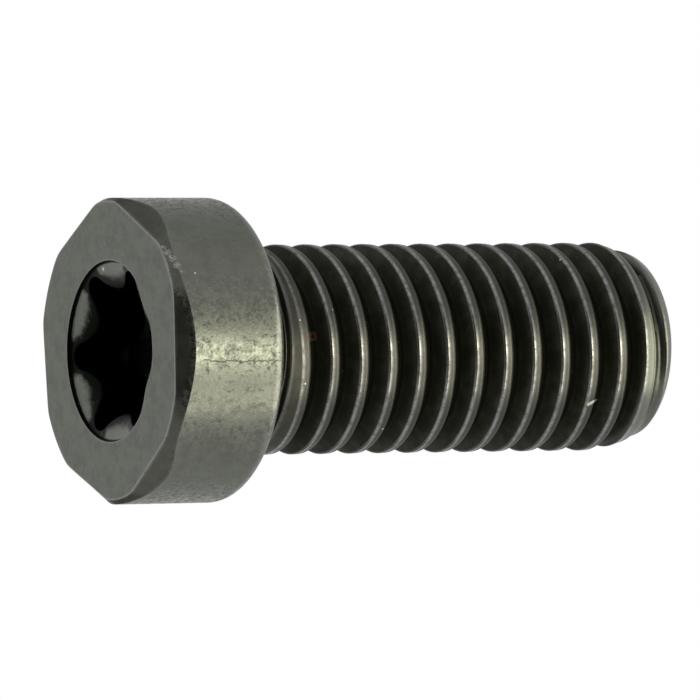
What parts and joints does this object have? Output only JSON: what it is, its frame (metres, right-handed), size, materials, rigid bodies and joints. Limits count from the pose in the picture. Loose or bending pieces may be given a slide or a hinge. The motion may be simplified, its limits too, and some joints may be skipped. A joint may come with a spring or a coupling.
{
  "type": "fillister head screw",
  "caption": "Short machine screw with a cylindrical head, bevelled to a six-sided face, a six-lobe socket and a fine right-hand thread; it clamps parts into a tapped hole.",
  "frame": {"origin": "centre of the head's flat outer face, which the screw stands on", "axes": "+Z along the screw's axis from the head to the threaded end; -Y within 4 degrees of the middle of one side of the six-sided face"},
  "size_m": [0.0058, 0.0058, 0.0115],
  "materials": {
    "black_oxide_steel": "black oxide on alloy steel, satin, worn bright along the thread crests and edges"
  },
  "bodies": {
    "root": {"screw": "black_oxide_steel"}
  },
  "joints": []
}
